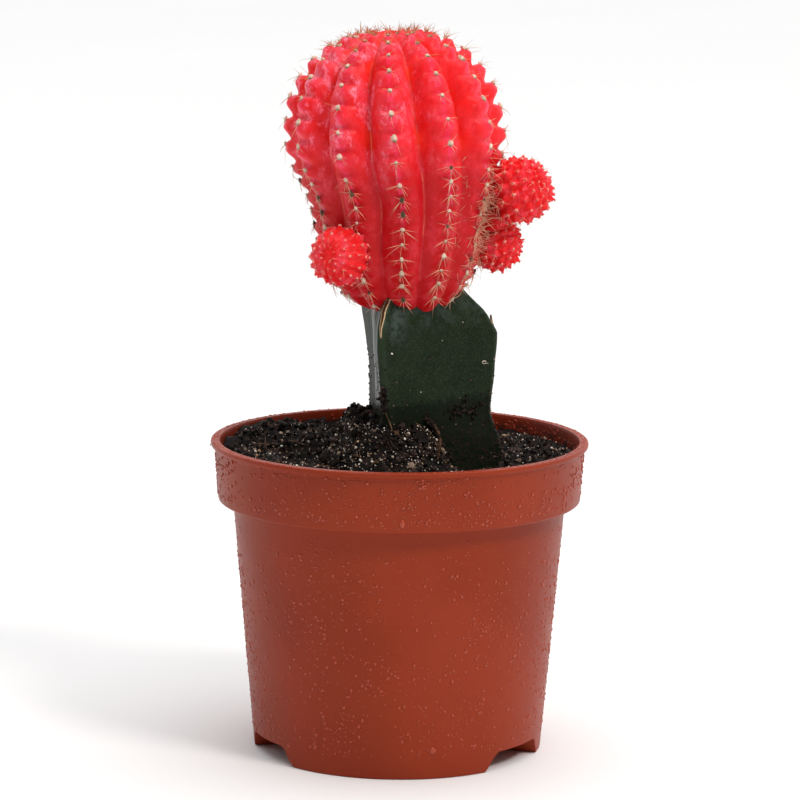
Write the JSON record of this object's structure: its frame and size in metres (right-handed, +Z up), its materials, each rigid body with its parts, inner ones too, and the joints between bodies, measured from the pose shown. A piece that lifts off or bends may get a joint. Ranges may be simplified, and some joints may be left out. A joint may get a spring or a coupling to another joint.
{
  "type": "potted moon cactus",
  "caption": "Red ribbed moon cactus with small offsets, grafted on a green three-winged stem that stands in soil in a round terracotta-coloured plastic nursery pot.",
  "frame": {"origin": "on the pot's axis, in the plane that its feet stand on", "axes": "+Z up along the pot's axis; -Y towards the side of the plant where two of the stem's wings show, with the pair of offsets to +X"},
  "size_m": [0.085, 0.085, 0.1637],
  "materials": {
    "pot": "terracotta-coloured moulded polypropylene, satin gloss",
    "soil": "dark damp peat soil with pale grit, matt",
    "rootstock": "dark green living stem with a waxy sheen",
    "scion": "bright red fleshy cactus skin, semi-gloss, with tan spines"
  },
  "bodies": {
    "root": {"pot": "pot", "soil": "soil", "rootstock": "rootstock", "scion": "scion"}
  },
  "joints": []
}
